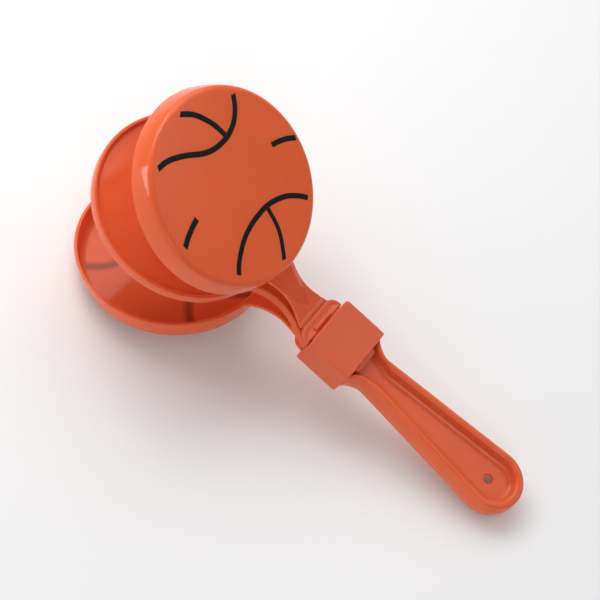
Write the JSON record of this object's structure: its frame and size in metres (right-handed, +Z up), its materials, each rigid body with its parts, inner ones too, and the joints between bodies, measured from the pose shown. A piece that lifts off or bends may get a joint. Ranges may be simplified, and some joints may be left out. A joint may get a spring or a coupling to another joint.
{
  "type": "hand clapper noisemaker",
  "caption": "Plastic hand clapper: a flat paddle between two hinged round cups on a channelled handle with a hang hole, printed ball seams.",
  "frame": {"origin": "middle of the object's footprint, on the table it lies on", "axes": "+X from the discs towards the handle end, +Y across, +Z up; the upper cup is the front"},
  "size_m": [0.1972, 0.0756, 0.0904],
  "materials": {
    "orange_plastic": "semi-gloss",
    "ink": "satin"
  },
  "bodies": {
    "base": {"centre_disc": "orange_plastic", "handle": "orange_plastic", "front_tongue": "orange_plastic", "back_tongue": "orange_plastic", "front_hinge": "orange_plastic", "back_hinge": "orange_plastic", "collar": "orange_plastic"},
    "front_clapper": {"front_clapper": "orange_plastic", "front_print": "ink"},
    "back_clapper": {"back_clapper": "orange_plastic", "back_print": "ink"}
  },
  "joints": [
    {"name": "front_flex", "type": "hinge", "parent": "base", "child": "front_clapper", "pos_m": [-0.00172, 0, 0.03095], "axis": [0, 1, 0], "range_deg": [-19.5, 10], "stiffness_Nm_per_rad": 0.3, "springref_deg": 0.92},
    {"name": "back_flex", "type": "hinge", "parent": "base", "child": "back_clapper", "pos_m": [-0.00293, 0, 0.02589], "axis": [0, -1, 0], "range_deg": [-23.4, 10], "stiffness_Nm_per_rad": 0.3, "springref_deg": 2.41}
  ]
}
